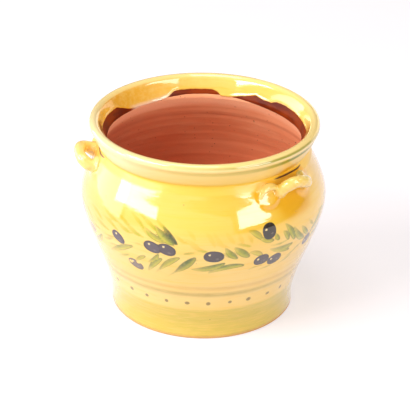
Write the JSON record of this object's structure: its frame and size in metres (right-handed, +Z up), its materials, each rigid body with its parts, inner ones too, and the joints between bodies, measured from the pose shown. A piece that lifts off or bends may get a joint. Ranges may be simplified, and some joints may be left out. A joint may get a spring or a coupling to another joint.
{
  "type": "olive jar",
  "caption": "Round glazed earthenware jar with a wide rolled mouth, coil lug handles on the shoulder and a painted olive garland.",
  "frame": {"origin": "centre of the flat underside, on the floor that the jar stands on", "axes": "+Z up along the axis of the jar; -Y towards the front of the painted side; +X to the right of it"},
  "size_m": [0.2215, 0.2173, 0.175],
  "materials": {
    "fired_clay": "matt, unglazed, with throwing rings inside",
    "painted_glaze": "glossy yellow glaze with a hand-painted garland",
    "clear_glaze": "glossy clear glaze on red clay",
    "yellow_glaze": "glossy yellow glaze"
  },
  "bodies": {
    "root": {"clay_body": "fired_clay", "glaze_coat": "painted_glaze", "throat_glaze": "clear_glaze", "handle_right": "yellow_glaze", "handle_left": "yellow_glaze", "handle_back": "yellow_glaze"}
  },
  "joints": []
}
